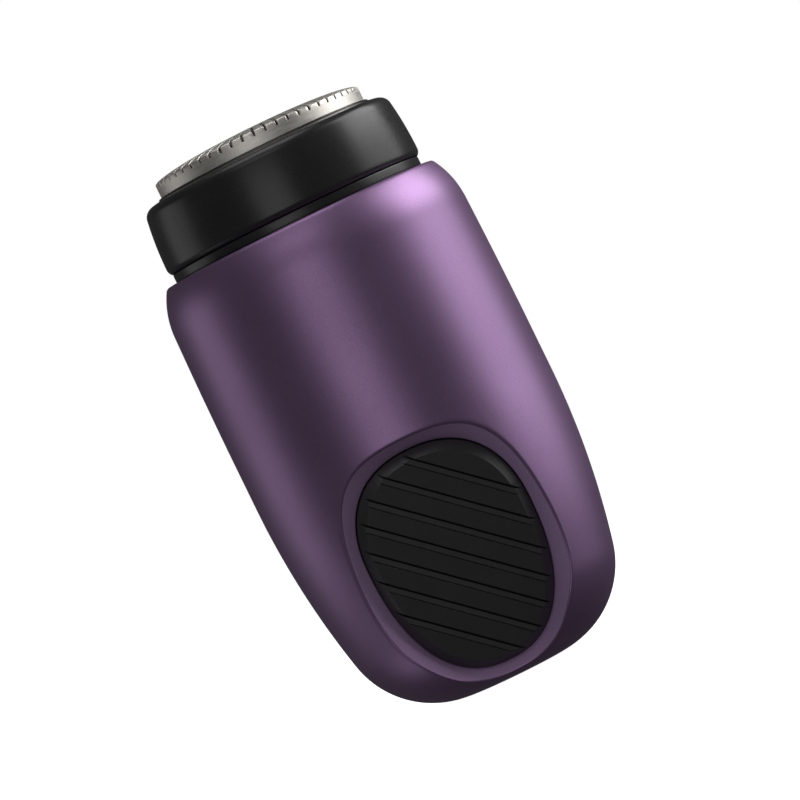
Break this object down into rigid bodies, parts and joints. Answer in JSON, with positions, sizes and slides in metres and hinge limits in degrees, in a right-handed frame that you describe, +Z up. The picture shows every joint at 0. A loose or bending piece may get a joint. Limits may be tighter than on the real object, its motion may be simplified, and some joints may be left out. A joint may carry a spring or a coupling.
{
  "type": "rotary hair remover",
  "caption": "Palm-sized cordless hair remover with an egg-ended shell, a ribbed thumb button and a pull-off head with a round slotted steel cap over a spinning cutter.",
  "frame": {"origin": "centre of the flat base, on the axis of the round body", "axes": "+Z up the body's axis from the base to the cutting head, -Y out of the side that carries the thumb button, +X to the right as that side is looked at"},
  "size_m": [0.0452, 0.0452, 0.0835],
  "materials": {
    "lilac_lacquer": "fine metallic lacquer over moulded plastic, satin",
    "satin_black": "satin moulded black",
    "black_plastic": "matt moulded black",
    "soft_black": "soft-touch black",
    "seal_rubber": "smooth moulded rubber",
    "brushed_steel": "circular brushed stainless steel",
    "spring_steel": "ground steel",
    "plated_steel": "nickel plated",
    "core_steel": "stacked laminations",
    "ferrite": "sintered, matt",
    "copper": "enamelled copper",
    "bronze": "sintered bronze",
    "zinc_screw": "zinc plated",
    "bearing_plastic": "natural acetal, satin",
    "frame_plastic": "moulded grey, matt",
    "cell_sleeve": "shrink sleeve, gloss",
    "board_laminate": "green solder mask",
    "chip_black": "moulded epoxy",
    "lamp_white": "white lamp body",
    "clear_plastic": "clear moulded",
    "lead_red": "insulated wire",
    "lead_black": "insulated wire"
  },
  "bodies": {
    "housing": {"body_shell": "lilac_lacquer", "button_boot": "soft_black", "neck_deck": "satin_black", "deck_gasket": "seal_rubber", "head_o_ring": "seal_rubber", "deck_screws": "zinc_screw", "spindle_seal": "seal_rubber", "motor_can": "plated_steel", "motor_end_bell": "black_plastic", "motor_bushings": "bronze", "motor_magnets": "ferrite", "motor_brushes": "copper", "motor_screws": "zinc_screw", "inner_frame": "frame_plastic", "battery_cell": "cell_sleeve", "battery_tabs": "plated_steel", "main_board": "board_laminate", "board_screws": "zinc_screw", "board_components": "chip_black", "switch_body": "black_plastic", "charge_socket": "plated_steel", "socket_tongue": "black_plastic", "socket_seal": "seal_rubber", "socket_board": "board_laminate", "charge_light": "lamp_white", "light_pipe": "clear_plastic", "motor_leads": "lead_red", "battery_leads": "lead_black", "socket_leads": "lead_red"},
    "rotor": {"motor_shaft": "spring_steel", "armature_core": "core_steel", "armature_windings": "copper", "commutator": "copper", "drive_coupler": "bearing_plastic", "spindle_spring": "spring_steel"},
    "spindle": {"drive_spindle": "bearing_plastic"},
    "head": {"head_ring": "satin_black", "cap_retainer": "black_plastic", "cap_wave_spring": "spring_steel"},
    "cap": {"blade_cap": "brushed_steel", "cap_pivot_bush": "bearing_plastic"},
    "cutter": {"cutter_blades": "brushed_steel", "cutter_hub": "bearing_plastic"},
    "button": {"button_pad": "soft_black", "button_carrier": "black_plastic"},
    "plunger": {"switch_plunger": "bearing_plastic"}
  },
  "joints": [
    {"name": "motor_spin", "type": "hinge", "parent": "housing", "child": "rotor", "pos_m": [0, 0, 0.05], "axis": [0, 0, 1], "continuous": true},
    {"name": "spindle_float", "type": "slide", "parent": "rotor", "child": "spindle", "axis": [0, 0, 1], "range_m": [-0.0005, 0], "stiffness_N_per_m": 200, "springref_m": 0.0005, "deforming": ["spindle_spring"]},
    {"name": "head_lift", "type": "slide", "parent": "housing", "child": "head", "axis": [0, 0, 1], "range_m": [0, 0.015]},
    {"name": "cap_float", "type": "slide", "parent": "head", "child": "cap", "axis": [0, 0, 1], "range_m": [-0.0005, 0], "stiffness_N_per_m": 600, "springref_m": 0.001, "deforming": ["cap_wave_spring"]},
    {"name": "cutter_spin", "type": "hinge", "parent": "cap", "child": "cutter", "pos_m": [0, 0, 0.08], "axis": [0, 0, 1], "continuous": true},
    {"name": "button_press", "type": "slide", "parent": "housing", "child": "button", "axis": [0, 0.9659, 0.2588], "range_m": [0, 0.0006], "stiffness_N_per_m": 1500, "springref_m": -0.0002, "deforming": ["button_boot"]},
    {"name": "plunger_press", "type": "slide", "parent": "housing", "child": "plunger", "axis": [0, 0.9659, 0.2588], "range_m": [0, 0.0006]}
  ],
  "couplings": [
    {"joint": "cutter_spin", "follows": "motor_spin", "ratio": 1},
    {"joint": "spindle_float", "follows": "cap_float", "ratio": 1},
    {"joint": "plunger_press", "follows": "button_press", "ratio": 1}
  ]
}
